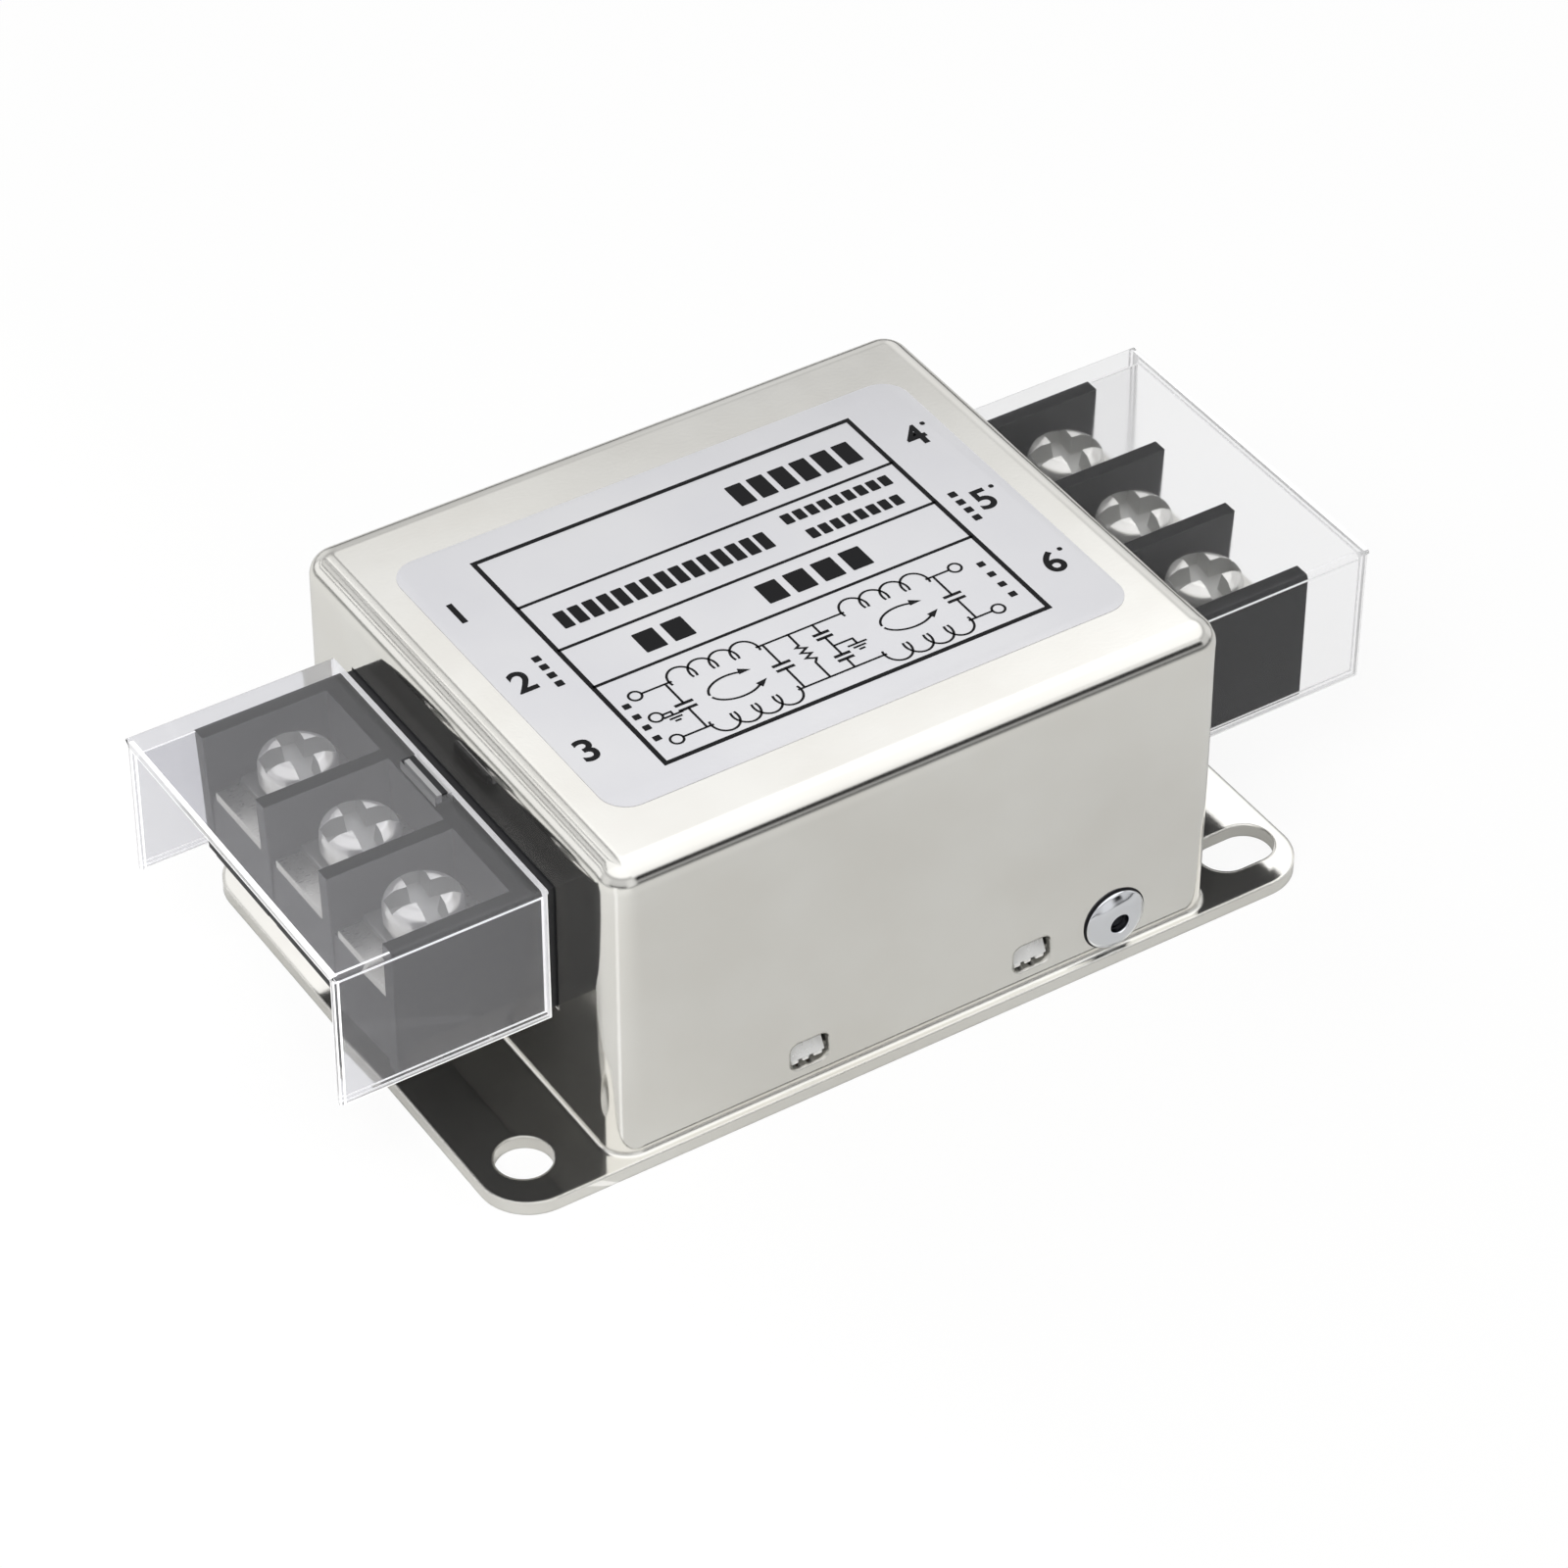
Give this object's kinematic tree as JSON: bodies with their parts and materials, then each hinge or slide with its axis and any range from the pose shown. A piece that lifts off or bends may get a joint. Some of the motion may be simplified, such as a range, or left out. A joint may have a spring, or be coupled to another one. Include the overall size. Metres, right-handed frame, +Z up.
{
  "type": "line filter",
  "caption": "Mains line filter in a drawn steel can with mounting flanges and screw terminals under clear covers at both ends.",
  "frame": {"origin": "centre of the part in its mounting plane, the underside of the flanges", "axes": "+X from the line terminals to the load terminals, +Y across, +Z up from the mounting plane"},
  "size_m": [0.11, 0.057, 0.0347],
  "materials": {
    "case": "bright drawn, nickel plated",
    "bottom_cover": "satin",
    "rivet": "bright",
    "rating_plate": "satin foil",
    "terminal_block": "moulded black",
    "terminal_plate": "tin plated",
    "terminal_screw": "zinc plated",
    "clear_cover": "clear moulded",
    "circuit_board": "laminate",
    "insulating_liner": "matt sheet",
    "choke_core": "coated ferrite",
    "winding": "enamelled copper",
    "film_capacitor": "moulded",
    "disc_capacitor": "dipped",
    "resistor": "lacquered",
    "tinned_lead": "tin plated"
  },
  "bodies": {
    "root": {"case": "case", "bottom_cover": "bottom_cover", "rivets": "rivet", "rating_plate": "rating_plate", "circuit_board": "circuit_board", "insulating_liner": "insulating_liner", "line_film_capacitor": "film_capacitor", "middle_film_capacitor": "film_capacitor", "load_film_capacitor": "film_capacitor", "film_capacitor_leads": "tinned_lead", "front_disc_capacitor": "disc_capacitor", "back_disc_capacitor": "disc_capacitor", "disc_capacitor_leads": "tinned_lead", "bleed_resistor": "resistor", "resistor_leads": "tinned_lead", "line_terminal_block": "terminal_block", "line_terminal_plates": "terminal_plate", "line_clamp_washers": "terminal_screw", "line_terminal_screws": "terminal_screw", "line_cover": "clear_cover", "line_earth_strap": "terminal_plate", "line_choke_core": "choke_core", "line_choke_windings": "winding", "load_terminal_block": "terminal_block", "load_terminal_plates": "terminal_plate", "load_clamp_washers": "terminal_screw", "load_terminal_screws": "terminal_screw", "load_cover": "clear_cover", "load_earth_strap": "terminal_plate", "load_choke_core": "choke_core", "load_choke_windings": "winding"}
  },
  "joints": []
}
